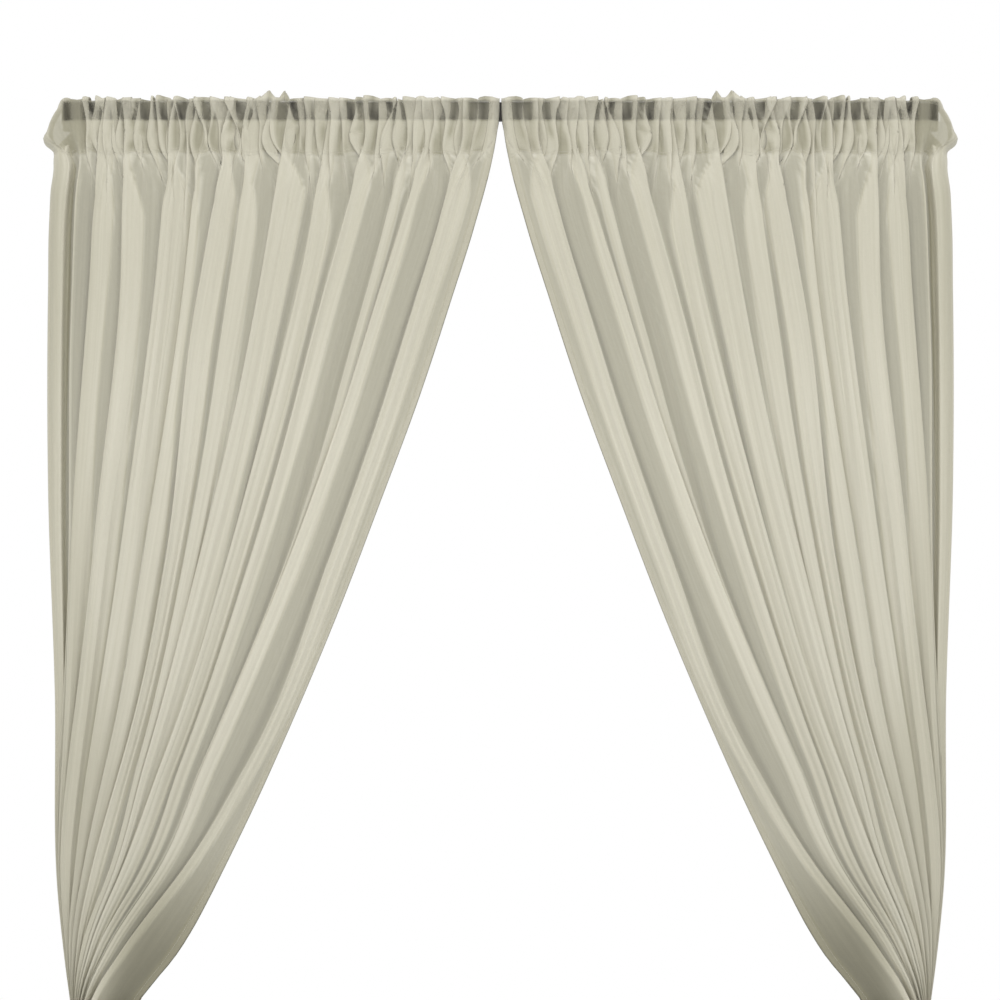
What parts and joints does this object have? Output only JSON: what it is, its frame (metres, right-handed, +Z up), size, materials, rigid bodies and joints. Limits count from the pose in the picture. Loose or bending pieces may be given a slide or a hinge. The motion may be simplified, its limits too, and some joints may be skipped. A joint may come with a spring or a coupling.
{
  "type": "tied-back curtain pair on rod",
  "caption": "Pair of sheer rod-pocket curtains gathered on an adjustable flat wall rod and held open by cloth tie-backs on wall hooks.",
  "frame": {"origin": "on the wall plane, midway between the two rod brackets, at half the rod's height", "axes": "+X to the right seen from the room, +Y into the wall (the room is on the -Y side), +Z up"},
  "size_m": [1.271, 0.1011, 2.134],
  "materials": {
    "sheer_fabric": "sheer voile, fine plain weave, warm ivory grey",
    "band_fabric": "doubled voile, same cloth as the panels",
    "rod_black": "satin black enamel on rolled steel",
    "hook_metal": "satin nickel plate",
    "screw_metal": "bright zinc plate"
  },
  "bodies": {
    "left_wall_fittings": {"left_rod_bracket": "rod_black", "left_bracket_screw_lower": "screw_metal", "left_bracket_screw_upper": "screw_metal", "left_tieback_hook": "hook_metal", "left_hook_screw_lower": "screw_metal", "left_hook_screw_upper": "screw_metal"},
    "right_wall_fittings": {"right_rod_bracket": "rod_black", "right_bracket_screw_lower": "screw_metal", "right_bracket_screw_upper": "screw_metal", "right_tieback_hook": "hook_metal", "right_hook_screw_lower": "screw_metal", "right_hook_screw_upper": "screw_metal"},
    "outer_rod": {"rod_outer_section": "rod_black", "left_heading_pocket": "sheer_fabric", "left_drape": "sheer_fabric", "left_tail": "sheer_fabric", "left_bottom_hem": "sheer_fabric"},
    "inner_rod": {"rod_inner_section": "rod_black", "right_heading_pocket": "sheer_fabric", "right_drape": "sheer_fabric", "right_tail": "sheer_fabric", "right_bottom_hem": "sheer_fabric"},
    "left_leading_edge": {"left_leading_pocket": "sheer_fabric"},
    "right_leading_edge": {"right_leading_pocket": "sheer_fabric"},
    "left_tieback": {"left_tieback_band": "band_fabric", "left_tieback_ring_lower": "hook_metal", "left_tieback_ring_upper": "hook_metal"},
    "right_tieback": {"right_tieback_band": "band_fabric", "right_tieback_ring_lower": "hook_metal", "right_tieback_ring_upper": "hook_metal"}
  },
  "joints": [
    {"name": "window_width", "type": "slide", "parent": "left_wall_fittings", "child": "right_wall_fittings", "axis": [1, 0, 0], "range_m": [0, 0.9144]},
    {"name": "rod_lift", "type": "slide", "parent": "left_wall_fittings", "child": "outer_rod", "axis": [0, 0, 1], "range_m": [0, 0.03]},
    {"name": "rod_lift_right", "type": "slide", "parent": "right_wall_fittings", "child": "inner_rod", "axis": [0, 0, 1], "range_m": [0, 0.03]},
    {"name": "left_curtain_draw", "type": "slide", "parent": "outer_rod", "child": "left_leading_edge", "axis": [1, 0, 0], "range_m": [-0.254, 0], "deforming": ["left_heading_pocket", "left_drape"]},
    {"name": "right_curtain_draw", "type": "slide", "parent": "inner_rod", "child": "right_leading_edge", "axis": [1, 0, 0], "range_m": [0, 0.254], "deforming": ["right_heading_pocket", "right_drape"]},
    {"name": "left_tieback_lift", "type": "slide", "parent": "left_wall_fittings", "child": "left_tieback", "axis": [0, 0, 1], "range_m": [0, 0.015]},
    {"name": "right_tieback_lift", "type": "slide", "parent": "right_wall_fittings", "child": "right_tieback", "axis": [0, 0, 1], "range_m": [0, 0.015]}
  ],
  "couplings": [
    {"joint": "rod_lift_right", "follows": "rod_lift", "ratio": 1}
  ]
}
